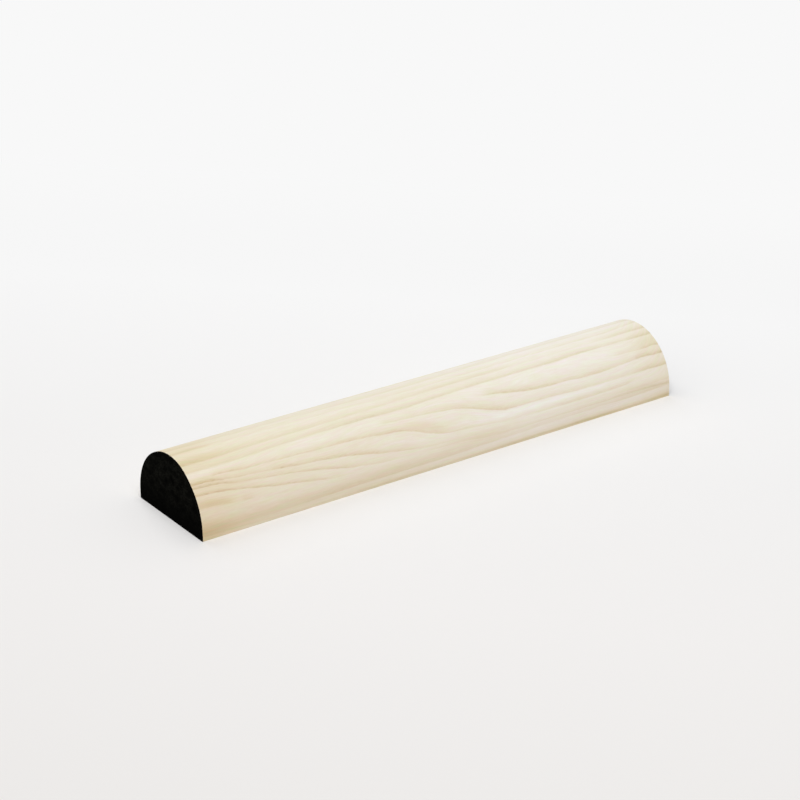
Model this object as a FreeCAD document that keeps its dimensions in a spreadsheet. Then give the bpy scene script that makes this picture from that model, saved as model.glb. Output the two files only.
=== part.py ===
"""Half-round moulding: a black fibreboard core wrapped in a thin ash veneer.

The section is a half circle standing on two short straight sides. The moulding lies on its flat
back, with its length along X, its width along Y and the crown of the curve up, along Z. The
origin is on the flat back, in the middle of the length and of the width. Sizes are millimetres.
"""

import FreeCAD, Part

import os
from math import pi

import Sketcher
from FreeCAD import Placement, Vector

OUT = "parts"

# name of the size, millimetres, what it is
DRIVING_SIZES = (
    ("moulding_length", 200.0, "cut length, end to end"),
    ("moulding_width", 40.0, "width across the flat back, over the veneer"),
    ("side_height", 3.0, "straight side between the flat back and the curve"),
    ("veneer_thickness", 0.3, "ash veneer on the curve and the two straight sides"),
)

OUTER_RADIUS = "Sizes.moulding_width / 2"
INNER_RADIUS = "Sizes.moulding_width / 2 - Sizes.veneer_thickness"


def fill_sheet(doc):
    """Writes the driving sizes to a spreadsheet, one named cell each, and returns it."""
    sheet = doc.addObject("Spreadsheet::Sheet", "Sizes")
    for row, (name, value, meaning) in enumerate(DRIVING_SIZES, start=1):
        sheet.set(f"A{row}", meaning)
        sheet.set(f"B{row}", str(value))
        sheet.setAlias(f"B{row}", name)
    doc.recompute()
    return sheet


def new_body(doc, name):
    """A body whose name and label are the piece's name."""
    body = doc.addObject("PartDesign::Body", name)
    body.Label = name
    body.Placement = Placement()
    return body


def section_sketch(body, name):
    """An empty sketch on the plane across the moulding: sketch x is width, sketch y is height."""
    plane = next(f for f in body.Origin.OriginFeatures if f.Role == "YZ_Plane")
    sketch = body.newObject("Sketcher::SketchObject", name)
    sketch.AttachmentSupport = [(plane, "")]
    sketch.MapMode = "FlatFace"
    return sketch


def tie_size(sketch, constraint, name, rule):
    """Adds a dimension to the sketch, names it and ties it to a rule of the named sizes."""
    number = sketch.addConstraint(constraint)
    sketch.renameConstraint(number, name)
    sketch.setExpression(f"Constraints.{name}", rule)


def draw_half_round(sketch, name, radius, side, radius_rule):
    """Draws two straight sides with a half circle between their tops, open at the flat back.

    The sides stand on the back's line, the circle's centre is in the middle of the width, and
    the radius and the side height follow the named sizes. Returns the right and the left side.
    """
    right = sketch.addGeometry(Part.LineSegment(Vector(radius, 0, 0), Vector(radius, side, 0)))
    circle = Part.Circle(Vector(0, side, 0), Vector(0, 0, 1), radius)
    curve = sketch.addGeometry(Part.ArcOfCircle(circle, 0, pi))
    left = sketch.addGeometry(Part.LineSegment(Vector(-radius, side, 0), Vector(-radius, 0, 0)))
    for constraint in (
        Sketcher.Constraint("Vertical", right),
        Sketcher.Constraint("Vertical", left),
        Sketcher.Constraint("Tangent", right, 2, curve, 1),
        Sketcher.Constraint("Tangent", curve, 2, left, 1),
        Sketcher.Constraint("PointOnObject", right, 1, -1),
        Sketcher.Constraint("PointOnObject", left, 2, -1),
        Sketcher.Constraint("PointOnObject", curve, 3, -2),
    ):
        sketch.addConstraint(constraint)
    tie_size(sketch, Sketcher.Constraint("Radius", curve, radius), name + "_radius", radius_rule)
    side_size = Sketcher.Constraint("DistanceY", right, 1, right, 2, side)
    tie_size(sketch, side_size, name + "_side", "Sizes.side_height")
    return right, left


def close_along_back(sketch, first, first_end, second, second_end):
    """Joins the lower ends of two straight sides with a line along the flat back."""
    start = sketch.getPoint(first, first_end)
    end = sketch.getPoint(second, second_end)
    back = sketch.addGeometry(Part.LineSegment(start, end))
    sketch.addConstraint(Sketcher.Constraint("Coincident", first, first_end, back, 1))
    sketch.addConstraint(Sketcher.Constraint("Coincident", back, 2, second, second_end))


def pad_along_length(doc, body, sketch):
    """Runs the section along the whole moulding, half of it each way from the middle."""
    pad = body.newObject("PartDesign::Pad", body.Name + "_run")
    pad.Profile = sketch
    pad.Midplane = True
    pad.setExpression("Length", "Sizes.moulding_length")
    doc.recompute()


def make_core(doc, sheet):
    """The black fibreboard core: all of the section inside the veneer, with a bare flat back."""
    body = new_body(doc, "fibreboard_core")
    sketch = section_sketch(body, "core_section")
    radius = sheet.moulding_width / 2 - sheet.veneer_thickness
    right, left = draw_half_round(sketch, "core", radius, sheet.side_height, INNER_RADIUS)
    close_along_back(sketch, left, 2, right, 1)
    pad_along_length(doc, body, sketch)
    return body


def make_veneer(doc, sheet):
    """The ash veneer: one thin sheet bent over the curve and down both straight sides."""
    body = new_body(doc, "ash_veneer")
    sketch = section_sketch(body, "veneer_section")
    outer = sheet.moulding_width / 2
    inner = outer - sheet.veneer_thickness
    side = sheet.side_height
    out_right, out_left = draw_half_round(sketch, "show_face", outer, side, OUTER_RADIUS)
    in_right, in_left = draw_half_round(sketch, "glue_face", inner, side, INNER_RADIUS)
    close_along_back(sketch, in_right, 1, out_right, 1)
    close_along_back(sketch, out_left, 2, in_left, 2)
    pad_along_length(doc, body, sketch)
    return body


def check(doc, bodies):
    """Stops if any object of the document failed, or a piece is not one sound solid."""
    for thing in doc.Objects:
        if "Invalid" in thing.State or "Error" in thing.State:
            raise RuntimeError(f"{thing.Name} failed: {thing.State}")
    for body in bodies:
        shape = body.Shape
        if shape.isNull() or not shape.isValid() or len(shape.Solids) != 1:
            raise RuntimeError(f"{body.Label} is not one sound solid")


def main():
    doc = FreeCAD.newDocument("half_round_moulding")
    sheet = fill_sheet(doc)
    bodies = [make_core(doc, sheet), make_veneer(doc, sheet)]
    doc.recompute()
    check(doc, bodies)
    os.makedirs(OUT, exist_ok=True)
    for body in bodies:
        body.Shape.exportStep(os.path.join(OUT, body.Label + ".step"))
        box = body.Shape.BoundBox
        sizes = f"{box.XLength:.2f} x {box.YLength:.2f} x {box.ZLength:.2f} mm"
        print(f"{body.Label}: {sizes}, {body.Shape.Volume:.1f} mm3")


main()
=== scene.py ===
"""Half-round moulding: pale ash veneer bent over a black fibreboard core, on a plain pale floor.

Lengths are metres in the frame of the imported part: X along the moulding, Y across it, Z up.
The grain is laid out in millimetres on the veneer as a flat sheet, before it was bent over the
core: "along" runs from the near end, the one with the lowest X, and "round" runs from the front
lower edge up over the crown and down to the back lower edge.
"""

import math

import bmesh
import bpy
from bpy.props import FloatProperty, FloatVectorProperty, PointerProperty
from mathutils import Matrix, Vector


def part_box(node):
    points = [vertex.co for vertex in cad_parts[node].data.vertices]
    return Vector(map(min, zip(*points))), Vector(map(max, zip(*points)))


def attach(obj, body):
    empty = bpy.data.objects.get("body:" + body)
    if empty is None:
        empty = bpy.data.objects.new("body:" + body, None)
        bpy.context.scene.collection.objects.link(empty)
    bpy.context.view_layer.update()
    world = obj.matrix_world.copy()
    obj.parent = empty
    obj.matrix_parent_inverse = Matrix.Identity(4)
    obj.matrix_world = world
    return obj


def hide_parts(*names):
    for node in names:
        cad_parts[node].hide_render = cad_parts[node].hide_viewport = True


bl_info = {
    "name": "Half-round moulding",
    "version": (1, 0, 0),
    "blender": (4, 5, 0),
    "location": "3D View > Sidebar > Moulding",
    "description": "Dresses a veneer-wrapped half-round moulding and sets it in a plain studio",
    "category": "Object",
}

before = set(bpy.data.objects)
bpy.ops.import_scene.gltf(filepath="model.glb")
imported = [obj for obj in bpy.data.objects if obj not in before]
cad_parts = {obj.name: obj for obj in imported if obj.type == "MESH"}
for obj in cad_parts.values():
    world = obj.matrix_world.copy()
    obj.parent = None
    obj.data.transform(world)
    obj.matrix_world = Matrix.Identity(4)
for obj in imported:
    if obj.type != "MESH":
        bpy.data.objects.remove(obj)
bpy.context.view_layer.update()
BODY = "root"
CORE_NODE = "fibreboard_core"
VENEER_NODE = "ash_veneer"

MM = 0.001
CORE_LOW, CORE_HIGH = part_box(CORE_NODE)
VENEER_LOW, VENEER_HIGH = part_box(VENEER_NODE)
LENGTH = VENEER_HIGH.x - VENEER_LOW.x
OUTER_RADIUS = (VENEER_HIGH.y - VENEER_LOW.y) / 2
SIDE_HEIGHT = VENEER_HIGH.z - VENEER_LOW.z - OUTER_RADIUS
CORE_RADIUS = (CORE_HIGH.y - CORE_LOW.y) / 2
LENGTH_MM = LENGTH / MM
SIDE_MM = SIDE_HEIGHT / MM
ROUND_MM = SIDE_MM + math.pi * OUTER_RADIUS / MM + SIDE_MM

ARC_STEPS = 96
ARRIS_STEPS = 3
SHARP_ANGLE = math.radians(40)

# Half the width, over the crown, in which the front side's measure passes into the back side's
CROWN_EASE = 0.5

# Growth lines of the ash, from the front lower edge up. Each is how soft its lower side is, the
# width of its tan side, and its knots: along, round, and how dark it is there. The lower side of a
# line is its crisper one, and the tan fades away upwards.
GROWTH_LINES = (
    (0.5, 0.9, (
        (0, 1.6, 0.4), (14, 1.2, 0.3), (40, 0.4, 0.2), (62, 0.4, 0.4), (74, 0.4, 0.6), (86, 0.4, 0.4),
        (104, 0.5, 0.2), (125, 0.5, 0.5), (150, 0.5, 0.7), (165, 0.4, 1.0), (180, 0.4, 0.6),
        (200, 0.5, 0.8),
    )),
    (0.5, 1.6, (
        (0, 2.6, 0.2), (30, 2.5, 0.3), (44, 2.6, 0.5), (58, 2.9, 0.6), (84, 3.1, 0.5), (102, 3.3, 0.5),
        (122, 3.7, 0.4), (150, 4.2, 0.3), (165, 4.4, 0.35), (184, 4.3, 0.6), (200, 4.7, 0.4),
    )),
    (0.6, 1.3, (
        (0, 11.0, 0.2), (3, 11.0, 0.5), (8, 10.6, 0.5), (12, 10.1, 0.4), (15, 9.8, 0.1),
        (18, 9.5, 0.5), (20, 9.4, 0.3), (22, 9.2, 0.1), (30, 8.8, 0.0), (200, 6.0, 0.0),
    )),
    (0.4, 0.9, (
        (0, 15.0, 1.0), (8, 14.7, 1.0), (14, 13.9, 0.8), (18, 13.3, 0.7), (22, 12.5, 0.8),
        (30, 11.1, 0.8), (35, 10.4, 0.8), (40, 9.6, 0.8), (45, 8.9, 0.7), (50, 8.2, 0.4),
        (58, 7.5, 0.2), (66, 7.0, 0.0), (200, 6.6, 0.0),
    )),
    (0.4, 0.9, (
        (0, 17.6, 1.0), (5, 17.3, 1.0), (10, 16.9, 0.9), (15, 16.0, 0.7), (20, 15.5, 0.5),
        (30, 14.4, 0.6), (40, 13.2, 0.7), (50, 11.5, 0.8), (57, 10.0, 0.7), (65, 8.9, 0.5),
        (73, 8.0, 0.4), (82, 7.5, 0.1), (104, 7.0, 0.3), (122, 5.6, 0.3), (185, 5.8, 0.5),
        (200, 5.2, 0.5),
    )),
    (0.4, 1.1, (
        (0, 18.9, 0.9), (4, 18.9, 1.0), (8, 18.5, 0.9), (14, 17.8, 0.5), (22, 17.2, 0.5),
        (27, 16.9, 0.5), (34, 16.2, 0.8), (42, 15.5, 0.6), (50, 14.8, 0.9), (60, 13.5, 0.9),
        (65, 12.6, 1.0), (70, 11.5, 0.9), (75, 10.8, 0.6), (80, 10.1, 0.6), (86, 9.2, 0.4),
        (94, 8.6, 0.2), (128, 7.3, 0.1), (200, 7.0, 0.3),
    )),
    (0.5, 1.0, (
        (0, 20.6, 0.0), (8, 20.3, 0.1), (11, 20.3, 0.7), (18, 19.7, 0.7), (22, 19.5, 0.5),
        (30, 19.3, 0.5), (40, 19.0, 0.6), (50, 18.6, 0.6), (58, 18.5, 0.7), (66, 18.0, 0.7),
        (70, 17.8, 0.7), (75, 17.2, 0.8), (80, 16.8, 0.9), (85, 15.8, 0.8), (91, 13.6, 0.8),
        (95, 12.4, 0.8), (100, 11.4, 0.6), (108, 10.8, 0.5), (116, 10.1, 0.35), (124, 9.6, 0.1),
        (130, 9.4, 0.0), (200, 9.0, 0.0),
    )),
    (0.7, 1.0, (
        (0, 12.5, 0.0), (112, 10.5, 0.0), (124, 9.5, 0.2), (136, 9.2, 0.35), (146, 9.1, 0.5),
        (156, 9.0, 0.7), (166, 9.1, 0.6), (176, 9.3, 0.7), (182, 9.6, 0.4), (188, 9.8, 0.1),
        (200, 9.8, 0.0),
    )),
    (0.5, 1.4, (
        (0, 21.5, 0.0), (71, 21.1, 0.0), (78, 20.6, 0.3), (84, 20.3, 0.4), (92, 19.9, 0.5),
        (97, 19.5, 0.6), (104, 18.8, 0.7), (110, 17.6, 0.8), (115, 16.0, 0.9), (120, 14.5, 1.0),
        (126, 13.3, 0.9), (134, 13.2, 0.6), (145, 13.1, 0.6), (155, 12.6, 0.6), (165, 12.4, 0.5),
        (175, 12.3, 0.4), (185, 12.5, 0.6), (191, 12.5, 0.9), (196, 12.4, 1.1), (200, 12.5, 0.9),
    )),
    (0.5, 1.3, (
        (0, 22.0, 0.0), (113, 21.0, 0.0), (119, 20.3, 0.4), (125, 19.5, 0.9), (130, 18.6, 1.0),
        (136, 17.7, 0.9), (146, 17.0, 0.9), (155, 16.9, 0.7), (162, 16.4, 0.8), (170, 16.3, 0.9),
        (178, 16.7, 0.6), (187, 17.2, 0.8), (191, 17.5, 1.1), (197, 17.0, 1.1), (200, 17.1, 1.0),
    )),
    (0.5, 0.8, (
        (0, 22.5, 0.0), (174, 21.0, 0.0), (180, 20.8, 0.3), (184, 20.7, 0.5), (190, 20.5, 0.4),
        (194, 20.4, 0.9), (197, 20.7, 0.8), (200, 20.3, 1.0),
    )),
    (0.8, 1.4, (
        (0, 23.4, 0.5), (18, 23.5, 0.5), (30, 23.9, 0.5), (45, 24.4, 0.5), (60, 24.6, 0.7),
        (70, 24.6, 0.8), (82, 24.3, 0.7), (100, 24.8, 0.7), (118, 25.3, 0.7), (140, 25.4, 0.7),
        (152, 25.4, 0.9), (165, 25.9, 0.9), (185, 25.7, 0.6), (196, 25.5, 1.0), (200, 25.6, 1.0),
    )),
    (1.0, 1.9, (
        (0, 26.8, 0.7), (12, 26.8, 0.6), (22, 27.1, 0.5), (32, 27.4, 0.5), (50, 27.7, 0.4),
        (75, 27.9, 0.3), (92, 28.5, 0.4), (112, 28.8, 0.5), (126, 29.0, 0.5), (142, 29.0, 0.2),
        (172, 29.2, 0.2), (184, 29.2, 0.6), (200, 29.3, 0.8),
    )),
    (1.0, 1.5, (
        (0, 33.3, 0.5), (12, 33.5, 0.5), (18, 33.4, 0.2), (60, 32.6, 0.2), (90, 31.8, 0.3),
        (140, 32.2, 0.3), (170, 32.6, 0.4), (184, 32.8, 0.4), (200, 34.4, 0.5),
    )),
    (1.2, 1.8, (
        (0, 37.5, 0.5), (40, 36.6, 0.3), (92, 35.2, 0.4), (140, 36.5, 0.3), (200, 38.0, 0.5),
    )),
    (1.0, 1.7, (
        (0, 42.4, 0.5), (60, 41.6, 0.5), (110, 40.6, 0.4), (160, 41.8, 0.5), (200, 42.6, 0.6),
    )),
    (0.8, 1.6, (
        (0, 47.6, 0.6), (45, 47.3, 0.6), (100, 45.6, 0.6), (150, 46.6, 0.7), (200, 47.4, 0.7),
    )),
    (0.6, 1.4, (
        (0, 52.5, 0.8), (50, 51.9, 0.7), (105, 50.5, 0.8), (160, 51.4, 0.7), (200, 51.6, 0.8),
    )),
    (0.5, 1.3, (
        (0, 56.8, 0.7), (60, 56.2, 0.8), (120, 55.3, 0.7), (200, 55.6, 0.8),
    )),
    (0.5, 1.2, (
        (0, 60.6, 0.8), (70, 60.0, 0.7), (130, 59.6, 0.8), (200, 59.4, 0.7),
    )),
    (0.5, 1.1, (
        (0, 64.0, 0.6), (80, 63.4, 0.7), (200, 62.9, 0.6),
    )),
)

# Broad tan places in the sheet, and a few paler ones; the band along the front lower edge is partly
# painted shade: along, round, half length, half height, slope, strength
TAN_CLOUDS = (
    (0, 2.8, 12, 4.2, 0.0, 0.71),
    (26, 3.8, 26, 2.6, 0.0, 0.28),
    (78, 4.6, 30, 1.7, 0.0, 0.20),
    (5, 12.0, 9, 1.6, -0.1, 0.48),
    (8, 17.5, 14, 3.0, -0.1, 0.07),
    (3, 22.2, 13, 1.5, 0.0, -0.26),
    (50, 21.8, 46, 1.5, 0.0, -0.12),
    (4, 28.3, 15, 2.0, 0.0, 0.40),
    (6, 34.0, 8, 1.2, 0.0, 0.30),
    (4, 39.5, 14, 4.0, 0.0, 0.12),
    (10, 40.0, 45, 6.0, 0.0, 0.08),
    (92, 15.8, 8, 1.6, -0.3, 0.35),
    (113, 6.8, 14, 1.9, 0.0, 0.30),
    (118, 12.6, 8, 1.2, -0.15, -0.15),
    (142, 11.6, 32, 1.0, 0.0, -0.22),
    (186, 6.4, 10, 1.3, -0.12, 0.14),
    (199, 23.0, 11, 2.2, 0.0, 0.35),
    (112, 29.2, 40, 1.5, 0.0, 0.10),
    # Partly painted shade: a dark band along the front lower edge, where the floor's contact shadow
    # falls, on top of the tan there
    (150, 0.0, 90, 1.3, 0.0, 0.85),
    (198, 1.2, 9, 1.6, 0.0, 0.30),
    (162, 4.0, 22, 2.0, 0.0, 0.12),
    (196, 38.0, 14, 6.0, 0.0, -0.15),
)

# How tan the whole sheet is along its length, then round it: along or round, depth. This is partly
# the wood's own tone and partly painted light and shade: paler towards the far end and up the front
# side to the crown, where the light falls brighter, and tanner low on the front side.
TONE_AND_PAINTED_LIGHT = (
    (0, 0.62), (15, 0.48), (40, 0.32), (80, 0.23), (120, 0.07), (150, 0.01), (175, 0.03), (190, 0.11),
    (200, 0.26),
)
# Partly painted shade: tanner low on the front side, paler towards the crown
TONE_ROUND_AND_PAINTED_SHADE = (
    (0, 0.21), (5, 0.14), (8, 0.10), (14, 0.07), (20, 0.05), (26, 0.03), (31, -0.02), (42, -0.03),
    (69, 0.0),
)

# The least tan that the sheet comes down to, in the same measure as the depths above
PALEST = -0.3

# How the grain between growth lines follows them. The flow rises by the step over each line, within
# its reach on both sides, and by the base for each millimetre round. Where a line starts or ends
# inside the sheet, its step eases in from so far outside that place to so far inside it.
FLOW_BASE = 0.4
FLOW_REACH = 3.5
FLOW_STEP = 2.8
FLOW_EASE_OUT = 20.0
FLOW_EASE_IN = 10.0

# Patterns of the grain: the length of a lump along it, its height across it, and the slice of
# noise. The sways' heights are millimetres on the sheet, and the others' are measured in the flow.
SLOW_SWAY = (26.0, 6.0, 3.0)
MIDDLING_SWAY = (6.0, 1.8, 5.0)
QUICK_SWAY = (2.0, 0.7, 7.0)
BROAD_BANDS = (50.0, 2.6, 11.0)
NARROW_BANDS = (14.0, 1.2, 13.0)
STREAKS = (5.0, 0.45, 17.0)
FIBRES = (1.6, 0.17, 23.0)
TAN_HUES = (9.0, 1.0, 31.0)
PALE_HUES = (8.0, 1.2, 41.0)
PORES = (3.2, 0.32, 0.0)
STREAK_DETAIL = 3.0

# Millimetres by which the three sways move the growth lines
SLOW_REACH = 0.25
MIDDLING_REACH = 0.20
QUICK_REACH = 0.12

# How uneven the growth lines are along their length, and how deep a tan the two bands make
LINE_UNEVEN = 0.25
BROAD_DEPTH = 0.10
NARROW_DEPTH = 0.14

# Distances in a pore's cell at its rim and at its full depth, and the tan at which pores start to
# open and at which they are all open
PORE_RIM = (0.30, 0.12)
PORE_TAN = (0.15, 0.7)

# The noise at which the wood is all of one hue, and all of the other
HUE_ENDS = (-0.45, 0.45)

# The tan is redder between two heights of the front side and towards the near end, and elsewhere
# it leans to yellow. Each pair is where that starts and where it is full, round or along.
RED_FROM_ABOVE = (26.0, 16.0)
RED_FROM_BELOW = (0.0, 9.0)
RED_NEAR_END = (35.0, 5.0)
RED_FRONT_SHARE = 0.35
RED_NEAR_SHARE = 0.15
YELLOW_BIAS = 0.15

# The pale wood is pinker by the front lower edge
PINK_EDGE = (9.0, 3.0)
PINK_SHARE = 0.25

# At the near end the black stain runs on to the curve by a reach in millimetres, which grows by
# some more between two heights, round. Its rim is soft and wavers.
STAIN_REACH = 0.2
STAIN_MORE = 0.3
STAIN_HEIGHTS = (18.0, 30.0)
STAIN_WAVER = 0.05
STAIN_RIM = (0.06, 0.01)

# Shares of fibres, streaks and pores in the veneer's relief, and in its roughness
RELIEF_FIBRES = 0.5
RELIEF_STREAKS = 0.3
RELIEF_PORES = 1.5
ROUGH_STREAKS = 0.05
ROUGH_PORES = 0.2

# Fibres and hollows of the board: millimetres to a lump in X, Y and Z, and then the detail and the
# roughness of the noise that makes both
BOARD_FIBRES = (0.9, 0.9, 0.5)
BOARD_HOLLOWS = (3.2, 3.2, 2.2)
BOARD_DETAIL = 3.0
BOARD_GRIT = 0.6

# The noise between which the board goes from black to pale, for its fibres and for its hollows
FIBRE_ENDS = (-0.45, 0.35)
HOLLOW_ENDS = (-0.45, 0.40)

# The hollows' share in the board's relief, where the fibres' is 1
RELIEF_HOLLOWS = 0.6

# The pale fibres show more with height on the cut ends, between these heights in millimetres, so that
# the ends are darker towards the floor, a painted shade; they show fully all over the flat back, which is
# told by how far its normal points down
PAINTED_SHADE_HEIGHTS = (-1.5, 15.0)
LOOKS_DOWN = (-0.5, -0.9)

# The floor is a square, in metres. Its colour changes along one way over it, from the camera's side
# to behind the moulding, darker near the camera and paler behind: a painted light falloff across the
# floor. Near and far are millimetres along that way, and the middle and beside stops are shares of the
# run between them.
FLOOR_HALF = 6.0
FLOOR_WAY = (0.74, 0.68)
FLOOR_NEAR = -260.0
FLOOR_FAR = 140.0
FLOOR_MIDDLE = 0.35
FLOOR_BESIDE = 0.62

# Millimetres along that way, and all round, in which the floor passes into the backdrop's white
BACKDROP_BEHIND = (110.0, 290.0)
BACKDROP_ROUND = (400.0, 900.0)
BACKDROP_WHITE = (0.939, 0.939, 0.939, 1.0)

# Metres from the camera between which things show
CLIP_NEAR = 0.01
CLIP_FAR = 50.0


class Value:
    """One output of a node: a number, a colour or a vector that changes over a surface."""

    def __init__(self, graph, socket):
        self.graph = graph
        self.socket = socket

    def __add__(self, other):
        return self.graph.math("ADD", self, other)

    def __sub__(self, other):
        return self.graph.math("SUBTRACT", self, other)

    def __rsub__(self, other):
        return self.graph.math("SUBTRACT", other, self)

    def __mul__(self, other):
        return self.graph.math("MULTIPLY", self, other)

    def __truediv__(self, other):
        return self.graph.math("DIVIDE", self, other)

    def __neg__(self):
        return self.graph.math("MULTIPLY", self, -1.0)

    __radd__ = __add__
    __rmul__ = __mul__


class Graph:
    """Builds the nodes of one material or world."""

    def __init__(self, tree):
        self.tree = tree
        tree.nodes.clear()

    def node(self, kind, settings=None, sockets=None, out=0):
        """Adds a node, sets it up, fills or links its sockets, and returns one output.

        The settings come first: attributes by name, a ramp's "stops" or a curve's "points".
        The sockets are a dict by name or identifier, or a list in order.
        """
        made = self.tree.nodes.new(kind)
        for name, setting in (settings or {}).items():
            if name == "stops":
                self.set_stops(made.color_ramp, setting)
            elif name == "points":
                self.set_points(made.mapping, setting)
            else:
                setattr(made, name, setting)
        pairs = sockets.items() if isinstance(sockets, dict) else enumerate(sockets or ())
        for key, value in pairs:
            socket = made.inputs[key] if isinstance(key, int) else self.find(made.inputs, key)
            if isinstance(value, Value):
                self.tree.links.new(value.socket, socket)
            else:
                socket.default_value = value
        if not made.outputs:
            return None
        return Value(self, made.outputs[out] if isinstance(out, int) else self.find(made.outputs, out))

    @staticmethod
    def find(sockets, key):
        """The socket in use with that name or identifier."""
        return next(s for s in sockets if s.enabled and key in (s.name, s.identifier))

    @staticmethod
    def set_stops(ramp, stops):
        """Puts the (position, colour) stops on a colour ramp."""
        while len(ramp.elements) < len(stops):
            ramp.elements.new(1.0)
        for element, (position, colour) in zip(ramp.elements, stops):
            element.position = position
            element.color = (*colour, 1.0)

    @staticmethod
    def set_points(mapping, points):
        """Draws a smooth curve through (x, y) points, all between 0 and 1."""
        curve = mapping.curves[0]
        while len(curve.points) < len(points):
            curve.points.new(0.5, 0.5)
        for knot, place in zip(curve.points, points):
            knot.location = place
            knot.handle_type = "AUTO_CLAMPED"
        mapping.update()

    def math(self, operation, *values):
        return self.node("ShaderNodeMath", {"operation": operation}, values)

    def at_least(self, value, low):
        return self.math("MAXIMUM", value, low)

    def at_most(self, value, high):
        return self.math("MINIMUM", value, high)

    def exp(self, value):
        return self.math("EXPONENT", value)

    def ramp(self, value, low, high):
        """0 below low, 1 above high, and a soft S between them. low may be above high."""
        settings = {"interpolation_type": "SMOOTHSTEP"}
        sockets = {"Value": value, "From Min": low, "From Max": high, "To Min": 0.0, "To Max": 1.0}
        return self.node("ShaderNodeMapRange", settings, sockets)

    def curve(self, value, points):
        return self.node("ShaderNodeFloatCurve", {"points": points}, {"Value": value})

    def vector(self, x, y, z=0.0):
        return self.node("ShaderNodeCombineXYZ", None, (x, y, z))

    def noise(self, vector, detail=2.0, roughness=0.5):
        """Smooth noise from -1 to 1, one lump to each unit of the vector."""
        settings = {"noise_dimensions": "3D", "normalize": True}
        sockets = {"Vector": vector, "Scale": 1.0, "Detail": detail, "Roughness": roughness}
        return self.node("ShaderNodeTexNoise", settings, sockets) * 2.0 - 1.0

    def mix(self, factor, first, second, blend="MIX"):
        """Blends two colours."""
        settings = {"data_type": "RGBA", "blend_type": blend, "clamp_factor": True}
        sockets = {"Factor": factor, "A_Color": self.colour(first), "B_Color": self.colour(second)}
        return self.node("ShaderNodeMix", settings, sockets, "Result_Color")

    @staticmethod
    def colour(value):
        return value if isinstance(value, Value) else (*value, 1.0)

    def steep(self, colour, depth):
        """What a colour leaves after that many coats of itself."""
        left = []
        for name in ("Red", "Green", "Blue"):
            channel = self.node("ShaderNodeSeparateColor", None, [colour], name)
            left.append(self.math("POWER", channel, depth))
        return self.node("ShaderNodeCombineColor", None, left)

    def relief(self, height, distance):
        """The normal of a face whose relief is that high, where distance is metres to one unit."""
        sockets = {"Strength": 1.0, "Distance": distance, "Height": height}
        return self.node("ShaderNodeBump", None, sockets, "Normal")

    def principled(self, colour, roughness, specular, normal=None):
        """A solid finish of that colour, roughness and gloss."""
        sockets = {"Base Color": colour, "Roughness": roughness, "Specular IOR Level": specular}
        if normal is not None:
            sockets["Normal"] = normal
        return self.node("ShaderNodeBsdfPrincipled", None, sockets, "BSDF")

    def place(self):
        """X, Y and Z on the object, in millimetres."""
        place = self.node("ShaderNodeTexCoord", None, None, "Object")
        axes = [self.node("ShaderNodeSeparateXYZ", None, [place], axis) for axis in "XYZ"]
        return [axis / MM for axis in axes]


def new_material(name):
    """A new material and the graph of its nodes."""
    material = bpy.data.materials.new(name)
    material.use_nodes = True
    return material, Graph(material.node_tree)


def flat_sheet(graph):
    """Where a point of the bent veneer lies on its flat sheet, in millimetres: along and round."""
    x, y, z = graph.place()
    along = x - VENEER_LOW.x / MM
    low = graph.at_most(z, SIDE_MM)
    turn = graph.math("ARCTAN2", z - low, -y)
    over_crown = graph.ramp(y, -CROWN_EASE, CROWN_EASE)
    round_front = low + turn * (OUTER_RADIUS / MM)
    return along, round_front + over_crown * (SIDE_MM - low) * 2.0


def grain(graph, along, across, pattern, detail=2.0):
    """Noise from -1 to 1 that is drawn out along the grain."""
    length, height, cut = pattern
    return graph.noise(graph.vector(along / length, across / height, cut), detail)


def grown_in(graph, along, knots):
    """1 along the stretch where a growth line shows, and easing to 0 before and after it."""
    shown = [a for a, _, depth in knots if depth > 0.0]
    first, last = shown[0], shown[-1]
    share = 1.0
    if first > 0:
        share = graph.ramp(along, first - FLOW_EASE_OUT, first + FLOW_EASE_IN)
    if last < LENGTH_MM:
        share = graph.ramp(along, last + FLOW_EASE_OUT, last - FLOW_EASE_IN) * share
    return share


def grow(graph, along, across):
    """The tan of the growth lines, and the flow: a height that stays even along the grain."""
    share = along / LENGTH_MM
    tan = 0.0
    flow = across * FLOW_BASE
    for edge, width, knots in GROWTH_LINES:
        route = [(a / LENGTH_MM, r / ROUND_MM) for a, r, _ in knots]
        line = graph.curve(share, route) * ROUND_MM
        dark = graph.curve(share, [(a / LENGTH_MM, d) for a, _, d in knots])
        above = across - line
        crisp = graph.ramp(above, -edge / 2, edge / 2)
        fading = graph.exp(graph.at_least(above, 0.0) / -width)
        tan = dark * crisp * fading + tan
        rise = graph.ramp(above, -FLOW_REACH, FLOW_REACH) * grown_in(graph, along, knots)
        flow = rise * FLOW_STEP + flow
    return tan, flow


def clouds(graph, along, across):
    """The broad tan and pale places of the sheet, each a soft oval that leans with the grain, on the
    sheet's tone along and round. Part of it is painted light and shade: paler towards the far end and up
    the front side, and darker along the front lower edge.
    """
    total = graph.curve(along / LENGTH_MM, [(a / LENGTH_MM, depth) for a, depth in TONE_AND_PAINTED_LIGHT])
    total = graph.curve(across / ROUND_MM, [(r / ROUND_MM, depth) for r, depth in TONE_ROUND_AND_PAINTED_SHADE]) + total
    for centre_along, centre_round, half_length, half_height, slope, strength in TAN_CLOUDS:
        past = along - centre_along
        far_along = past / half_length
        far_round = (across - past * slope - centre_round) / half_height
        total = graph.exp(-(far_along * far_along + far_round * far_round)) * strength + total
    return total


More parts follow.
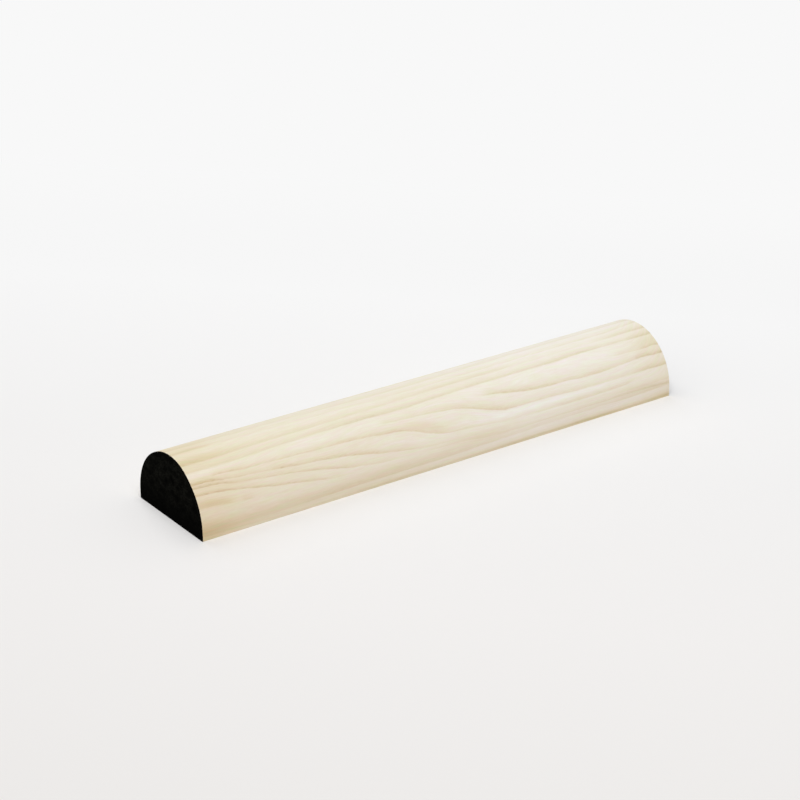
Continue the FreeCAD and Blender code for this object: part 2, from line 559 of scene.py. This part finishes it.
def pores(graph, along, flow, tan):
    """1 in an open pore. They lie along the grain, in the tan of the growth lines."""
    length, height, cut = PORES
    settings = {"voronoi_dimensions": "2D", "feature": "F1"}
    place = graph.vector(along / length, flow / height, cut)
    sockets = {"Vector": place, "Scale": 1.0, "Randomness": 1.0}
    distance = graph.node("ShaderNodeTexVoronoi", settings, sockets, "Distance")
    return graph.ramp(distance, *PORE_RIM) * graph.ramp(tan, *PORE_TAN)


def wood_colour(graph, look, along, across, flow, depth):
    """The ash's colour: pale wood of two hues, under as many coats of tan as it is deep."""
    red_front = graph.ramp(across, *RED_FROM_ABOVE) * graph.ramp(across, *RED_FROM_BELOW)
    redder = red_front * RED_FRONT_SHARE + graph.ramp(along, *RED_NEAR_END) * RED_NEAR_SHARE - YELLOW_BIAS
    tan_hue = grain(graph, along, flow, TAN_HUES) + redder
    tan_tint = graph.mix(graph.ramp(tan_hue, *HUE_ENDS), look.tan_colour, look.honey_colour)
    pinker = graph.ramp(across, *PINK_EDGE) * PINK_SHARE
    pale_hue = grain(graph, along, flow, PALE_HUES) + pinker
    pale_wood = graph.mix(graph.ramp(pale_hue, *HUE_ENDS), look.pale_colour, look.blush_colour)
    coats = graph.steep(tan_tint, graph.at_least(depth, PALEST))
    return graph.mix(1.0, pale_wood, coats, "MULTIPLY")


def stain(graph, along, across, waver):
    """1 where the black of the board stains the veneer, at its cut ends and just round the near one."""
    reach = graph.ramp(across, *STAIN_HEIGHTS) * STAIN_MORE + STAIN_REACH
    from_stain = graph.at_most(along + waver * STAIN_WAVER - reach, LENGTH_MM - along)
    return graph.ramp(from_stain, *STAIN_RIM)


def veneer_material(look):
    """Clear, satin ash veneer: tan growth lines, fine streaks that follow them, and open pores."""
    material, graph = new_material("ash_veneer")
    along, across = flat_sheet(graph)
    slow = grain(graph, along, across, SLOW_SWAY)
    middling = grain(graph, along, across, MIDDLING_SWAY)
    quick = grain(graph, along, across, QUICK_SWAY)
    wandering = across + slow * SLOW_REACH + middling * MIDDLING_REACH + quick * QUICK_REACH
    tan, flow = grow(graph, along, wandering)
    broad = grain(graph, along, flow, BROAD_BANDS)
    narrow = grain(graph, along, flow, NARROW_BANDS)
    streak = grain(graph, along, flow, STREAKS, STREAK_DETAIL)
    fibre = grain(graph, along, flow, FIBRES)
    pore = pores(graph, along, flow, tan)
    depth = tan * (quick * LINE_UNEVEN + 1.0) * look.line_strength + clouds(graph, along, across)
    depth = depth + broad * BROAD_DEPTH + narrow * NARROW_DEPTH
    depth = depth + streak * look.streak_strength + fibre * look.fibre_strength
    depth = depth + pore * look.pore_strength
    wood = wood_colour(graph, look, along, across, flow, depth)
    height = fibre * RELIEF_FIBRES + streak * RELIEF_STREAKS - pore * RELIEF_PORES
    rough = streak * ROUGH_STREAKS + pore * ROUGH_PORES + look.roughness
    clear = graph.principled(wood, rough, look.specular, graph.relief(height, look.relief))
    black = graph.principled(graph.colour(look.end_colour), look.end_roughness, look.end_specular)
    stained = stain(graph, along, across, quick)
    surface = graph.node("ShaderNodeMixShader", None, (stained, clear, black))
    graph.node("ShaderNodeOutputMaterial", None, {"Surface": surface})
    return material


def core_material(look):
    """Through-dyed black fibreboard: dead matt, with fine paler fibres and darker hollows, and painted
    shade that darkens its cut ends towards the floor.
    """
    material, graph = new_material("black_fibreboard")
    place = graph.place()
    fibre_place = graph.vector(*[axis / size for axis, size in zip(place, BOARD_FIBRES)])
    hollow_place = graph.vector(*[axis / size for axis, size in zip(place, BOARD_HOLLOWS)])
    fibres = graph.noise(fibre_place, BOARD_DETAIL, BOARD_GRIT)
    hollows = graph.noise(hollow_place, BOARD_DETAIL, BOARD_GRIT)
    facing = graph.node("ShaderNodeTexCoord", None, None, "Normal")
    flat_back = graph.ramp(graph.node("ShaderNodeSeparateXYZ", None, [facing], "Z"), *LOOKS_DOWN)
    # Painted shade: the paler fibres fade out towards the floor on the cut ends, but not on the flat back
    out_of_painted_shade = graph.at_least(graph.ramp(place[2], *PAINTED_SHADE_HEIGHTS), flat_back)
    pale_fibres = graph.ramp(fibres, *FIBRE_ENDS) * graph.ramp(hollows, *HOLLOW_ENDS) * out_of_painted_shade
    dyed = graph.mix(pale_fibres, look.black_colour, look.fibre_colour)
    relief = graph.relief(fibres + hollows * RELIEF_HOLLOWS, look.relief)
    surface = graph.principled(dyed, look.roughness, look.specular, relief)
    graph.node("ShaderNodeOutputMaterial", None, {"Surface": surface})
    return material


def section(radius):
    """Points of the half-round section as (y, z), from the front lower edge to the back one."""
    turns = [math.pi * step / ARC_STEPS for step in range(ARC_STEPS + 1)]
    arc = [(-radius * math.cos(turn), SIDE_HEIGHT + radius * math.sin(turn)) for turn in turns]
    return [(-radius, 0.0), *arc, (radius, 0.0)]


def prism(name, outer, inner, material):
    """A solid run of a section along the whole moulding.

    With an inner line of points the section is the strip between the two, and without one it
    is closed straight across the flat back.
    """
    mesh = bpy.data.meshes.new(name)
    build = bmesh.new()
    ends = (VENEER_LOW.x, VENEER_HIGH.x)
    outer_rows = [[build.verts.new((x, y, z)) for y, z in outer] for x in ends]
    if inner:
        inner_rows = [[build.verts.new((x, y, z)) for y, z in inner] for x in ends]
        for step in range(len(outer) - 1):
            near_out, far_out = outer_rows[0][step : step + 2], outer_rows[1][step : step + 2]
            near_in, far_in = inner_rows[0][step : step + 2], inner_rows[1][step : step + 2]
            build.faces.new((*near_out, *reversed(far_out)))
            build.faces.new((*reversed(near_in), *far_in))
            build.faces.new((*near_in, *reversed(near_out)))
            build.faces.new((*far_out, *reversed(far_in)))
        for last in (0, -1):
            near_out, far_out = outer_rows[0][last], outer_rows[1][last]
            near_in, far_in = inner_rows[0][last], inner_rows[1][last]
            build.faces.new((near_out, near_in, far_in, far_out))
    else:
        for step in range(len(outer) - 1):
            near, far = outer_rows[0][step : step + 2], outer_rows[1][step : step + 2]
            build.faces.new((*near, *reversed(far)))
        build.faces.new((outer_rows[0][-1], outer_rows[0][0], outer_rows[1][0], outer_rows[1][-1]))
        build.faces.new(outer_rows[0])
        build.faces.new(list(reversed(outer_rows[1])))
    bmesh.ops.recalc_face_normals(build, faces=build.faces)
    build.to_mesh(mesh)
    build.free()
    mesh.shade_smooth()
    mesh.set_sharp_from_angle(angle=SHARP_ANGLE)
    mesh.materials.append(material)
    piece = bpy.data.objects.new(name, mesh)
    bpy.context.scene.collection.objects.link(piece)
    return piece


def soften_arris(piece, width):
    """Breaks the sharp edges of a piece very slightly, as sandpaper does."""
    bevel = piece.modifiers.new("soft_arris", "BEVEL")
    bevel.width = width
    bevel.segments = ARRIS_STEPS
    bevel.limit_method = "ANGLE"
    bevel.angle_limit = SHARP_ANGLE


def colour_property(name, description, default):
    return FloatVectorProperty(
        name=name, description=description, default=default, subtype="COLOR", size=3, min=0.0, max=1.0
    )


def length_property(name, description, default):
    return FloatProperty(
        name=name, description=description, default=default, subtype="DISTANCE", unit="LENGTH"
    )


def power_property(name, description, default):
    return FloatProperty(
        name=name, description=description, default=default, subtype="POWER", unit="POWER", min=0.0
    )


def place_property(name, description, default):
    return FloatVectorProperty(
        name=name, description=description, default=default, subtype="XYZ", unit="LENGTH", size=3
    )


def share_property(name, description, default):
    return FloatProperty(
        name=name, description=description, default=default, subtype="FACTOR", min=0.0, max=1.0
    )


def angle_property(name, description, degrees):
    return FloatProperty(
        name=name, description=description, default=math.radians(degrees), subtype="ANGLE"
    )


class VeneerLook(bpy.types.PropertyGroup):
    """Colours and finish of the ash veneer."""

    pale_colour: colour_property("Pale wood", "Wood between the growth lines", (0.886, 0.868, 0.740))
    blush_colour: colour_property("Blush wood", "Pinker streaks in the pale wood", (0.908, 0.834, 0.782))
    tan_colour: colour_property(
        "Tan", "What one coat of yellowish tan leaves of the pale wood", (0.808, 0.763, 0.575)
    )
    honey_colour: colour_property(
        "Honey", "What one coat of reddish tan leaves of the pale wood", (0.850, 0.745, 0.585)
    )
    end_colour: colour_property(
        "Cut ends", "The veneer's cut ends, stained with the black of the board", (0.003, 0.003, 0.0026)
    )
    line_strength: share_property("Growth lines", "How dark the growth lines are", 0.92)
    streak_strength: share_property("Streaks", "How much the streaks between them show", 0.25)
    fibre_strength: share_property("Fibres", "How much single fibres show", 0.10)
    pore_strength: share_property("Pores", "How dark the open pores are", 0.30)
    roughness: share_property("Roughness", "Roughness of the sanded face", 0.55)
    specular: share_property("Gloss", "How much the face reflects", 0.4)
    end_roughness: share_property("Roughness of the cut ends", "Roughness of the stained ends", 0.9)
    end_specular: share_property("Gloss of the cut ends", "How much the stained ends reflect", 0.010)
    relief: length_property("Relief", "Height of the fibres and pores", 0.00003)
    arris: length_property("Arris", "Width of the broken edges", 0.00010)


class CoreLook(bpy.types.PropertyGroup):
    """Colours and finish of the black fibreboard."""

    black_colour: colour_property("Black", "The dyed board", (0.0006, 0.0006, 0.0004))
    fibre_colour: colour_property("Fibre", "The palest fibres", (0.0105, 0.0104, 0.0082))
    roughness: share_property("Roughness", "Roughness of the sawn face", 0.9)
    specular: share_property("Gloss", "How much the face reflects", 0.008)
    relief: length_property("Relief", "Height of the sawn fibres", 0.00006)


class StudioLook(bpy.types.PropertyGroup):
    """The floor, the light and the camera."""

    # Painted light falloff: these floor colours go from darker near the camera to paler behind the
    # moulding
    floor_near: colour_property("Floor, near", "The floor towards the camera", (0.812, 0.796, 0.781))
    floor_middle: colour_property(
        "Floor, middle", "The floor in front of the moulding", (0.880, 0.865, 0.855)
    )
    floor_beside: colour_property(
        "Floor, beside", "The floor beside the moulding", (0.907, 0.900, 0.895)
    )
    floor_far: colour_property("Floor, far", "The floor behind the moulding", (0.980, 0.980, 0.980))
    sky: share_property("Sky", "Strength of the light from all round", 0.245)
    key_power: power_property("Key lamp", "Power of the large soft lamp above the camera's side", 36.4)
    key_place: place_property("Key place", "Where the key lamp hangs", (-0.56, -0.97, 1.95))
    fill_power: power_property("Fill lamp", "Power of the soft lamp behind", 13.6)
    fill_place: place_property("Fill place", "Where the fill lamp hangs", (0.0, 1.45, 1.72))
    lamp_size: length_property("Lamp size", "Side of each soft lamp", 1.5)
    azimuth: angle_property("Azimuth", "Camera's turn round the moulding", -35.633)
    elevation: angle_property("Elevation", "Camera's height over the floor as an angle", 23.516)
    roll: angle_property("Roll", "Camera's tilt to one side", -0.179)
    distance: length_property("Distance", "From the camera to the point it looks at", 0.7645)
    aim: place_property("Aim", "The point the camera looks at", (0.0027, 0.0147, 0.0110))
    lens: FloatProperty(
        name="Lens", description="Focal length", default=96.9, subtype="DISTANCE_CAMERA", unit="CAMERA"
    )


class MOULDING_OT_core(bpy.types.Operator):
    """Makes the black fibreboard core"""

    bl_idname = "moulding.core"
    bl_label = "Fibreboard core"

    def execute(self, context):
        material = core_material(context.scene.moulding_core)
        piece = prism("core_board", section(CORE_RADIUS), None, material)
        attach(piece, BODY)
        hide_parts(CORE_NODE)
        return {"FINISHED"}


class MOULDING_OT_veneer(bpy.types.Operator):
    """Makes the ash veneer, bent over the curve and down both sides"""

    bl_idname = "moulding.veneer"
    bl_label = "Ash veneer"

    def execute(self, context):
        look = context.scene.moulding_veneer
        material = veneer_material(look)
        piece = prism("veneer_wrap", section(OUTER_RADIUS), section(CORE_RADIUS), material)
        soften_arris(piece, look.arris)
        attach(piece, BODY)
        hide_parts(VENEER_NODE)
        return {"FINISHED"}


class MOULDING_OT_studio(bpy.types.Operator):
    """Makes the pale floor, the soft light and the camera"""

    bl_idname = "moulding.studio"
    bl_label = "Studio"

    def execute(self, context):
        look = context.scene.moulding_studio
        scene = context.scene
        make_floor(scene, look)
        make_sky(scene, look)
        make_softbox(scene, "key_lamp", look.key_power, look.key_place, look.lamp_size)
        make_softbox(scene, "fill_lamp", look.fill_power, look.fill_place, look.lamp_size)
        make_camera(scene, look)
        scene.view_settings.view_transform = "Standard"
        return {"FINISHED"}


def looked_at(graph):
    """1 where the camera sees a surface, itself or in a reflection, and 0 for its light on others."""
    camera, mirror, glass = (
        graph.node("ShaderNodeLightPath", None, None, f"Is {kind} Ray")
        for kind in ("Camera", "Glossy", "Transmission")
    )
    return graph.at_least(graph.at_least(camera, mirror), glass)


def make_floor(scene, look):
    """A wide pale floor, painted paler behind the moulding and darker towards the camera, a painted light
    falloff. Far off it looks like the backdrop's white.
    """
    material, graph = new_material("studio_floor")
    x, y, _ = graph.place()
    way = x * FLOOR_WAY[0] + y * FLOOR_WAY[1]
    paler = (way - FLOOR_NEAR) / (FLOOR_FAR - FLOOR_NEAR)
    stops = (
        (0.0, look.floor_near),
        (FLOOR_MIDDLE, look.floor_middle),
        (FLOOR_BESIDE, look.floor_beside),
        (1.0, look.floor_far),
    )
    # Painted light: the floor's colour darkens towards the camera and pales behind the moulding, in place
    # of a light falloff
    paint = graph.node("ShaderNodeValToRGB", {"stops": stops}, [paler], "Color")
    matt = graph.node("ShaderNodeBsdfDiffuse", None, {"Color": paint}, "BSDF")
    white_sockets = {"Color": BACKDROP_WHITE, "Strength": 1.0}
    white = graph.node("ShaderNodeEmission", None, white_sockets, "Emission")
    far_behind = graph.ramp(way, *BACKDROP_BEHIND)
    far_round = graph.ramp(graph.math("SQRT", x * x + y * y), *BACKDROP_ROUND)
    far_off = graph.at_least(far_behind, far_round)
    surface = graph.node("ShaderNodeMixShader", None, (far_off * looked_at(graph), matt, white))
    graph.node("ShaderNodeOutputMaterial", None, {"Surface": surface})
    mesh = bpy.data.meshes.new("studio_floor")
    corners = [(sx * FLOOR_HALF, sy * FLOOR_HALF, 0.0) for sx, sy in ((-1, -1), (1, -1), (1, 1), (-1, 1))]
    mesh.from_pydata(corners, [], [(0, 1, 2, 3)])
    mesh.materials.append(material)
    floor = bpy.data.objects.new("studio_floor", mesh)
    scene.collection.objects.link(floor)


def make_sky(scene, look):
    """Even light from all round, and the backdrop's white where it is looked at."""
    world = bpy.data.worlds.new("studio_sky")
    world.use_nodes = True
    graph = Graph(world.node_tree)
    light_sockets = {"Color": (1.0, 1.0, 1.0, 1.0), "Strength": look.sky}
    light = graph.node("ShaderNodeBackground", None, light_sockets, "Background")
    white_sockets = {"Color": BACKDROP_WHITE, "Strength": 1.0}
    white = graph.node("ShaderNodeBackground", None, white_sockets, "Background")
    surface = graph.node("ShaderNodeMixShader", None, (looked_at(graph), light, white))
    graph.node("ShaderNodeOutputWorld", None, {"Surface": surface})
    scene.world = world


def make_softbox(scene, name, power, place, size):
    """A large square soft lamp that hangs at that place and faces the moulding."""
    lamp = bpy.data.lights.new(name, "AREA")
    lamp.shape = "SQUARE"
    lamp.size = size
    lamp.energy = power
    holder = bpy.data.objects.new(name, lamp)
    place = Vector(place)
    facing = place.to_track_quat("Z", "Y").to_matrix()
    holder.matrix_world = Matrix.Translation(place) @ facing.to_4x4()
    scene.collection.objects.link(holder)


def make_camera(scene, look):
    """The camera, turned about its own axis by the roll."""
    level = math.cos(look.elevation)
    across = math.sin(look.azimuth) * level
    towards = -math.cos(look.azimuth) * level
    back = Vector((across, towards, math.sin(look.elevation)))
    lens = bpy.data.cameras.new("camera")
    lens.lens = look.lens
    lens.clip_start = CLIP_NEAR
    lens.clip_end = CLIP_FAR
    camera = bpy.data.objects.new("camera", lens)
    facing = back.to_track_quat("Z", "Y").to_matrix() @ Matrix.Rotation(look.roll, 3, "Z")
    stand = Vector(look.aim) + back * look.distance
    camera.matrix_world = Matrix.Translation(stand) @ facing.to_4x4()
    scene.collection.objects.link(camera)
    scene.camera = camera


class MOULDING_PT_panel(bpy.types.Panel):
    """Buttons for the pieces and the studio, with their sizes and colours"""

    bl_idname = "MOULDING_PT_panel"
    bl_label = "Half-round moulding"
    bl_space_type = "VIEW_3D"
    bl_region_type = "UI"
    bl_category = "Moulding"

    def draw(self, context):
        for operator, group in PIECES:
            column = self.layout.column()
            column.operator(operator)
            settings = getattr(context.scene, group)
            for name in settings.bl_rna.properties.keys():
                if name not in ("rna_type", "name"):
                    column.prop(settings, name)


PIECES = (
    ("moulding.core", "moulding_core"),
    ("moulding.veneer", "moulding_veneer"),
    ("moulding.studio", "moulding_studio"),
)

CLASSES = (
    VeneerLook,
    CoreLook,
    StudioLook,
    MOULDING_OT_core,
    MOULDING_OT_veneer,
    MOULDING_OT_studio,
    MOULDING_PT_panel,
)


def register():
    for kind in CLASSES:
        bpy.utils.register_class(kind)
    bpy.types.Scene.moulding_veneer = PointerProperty(type=VeneerLook)
    bpy.types.Scene.moulding_core = PointerProperty(type=CoreLook)
    bpy.types.Scene.moulding_studio = PointerProperty(type=StudioLook)


def unregister():
    del bpy.types.Scene.moulding_studio
    del bpy.types.Scene.moulding_core
    del bpy.types.Scene.moulding_veneer
    for kind in reversed(CLASSES):
        bpy.utils.unregister_class(kind)


def main():
    register()
    bpy.ops.moulding.core()
    bpy.ops.moulding.veneer()
    bpy.ops.moulding.studio()


if __name__ == "__main__":
    main()
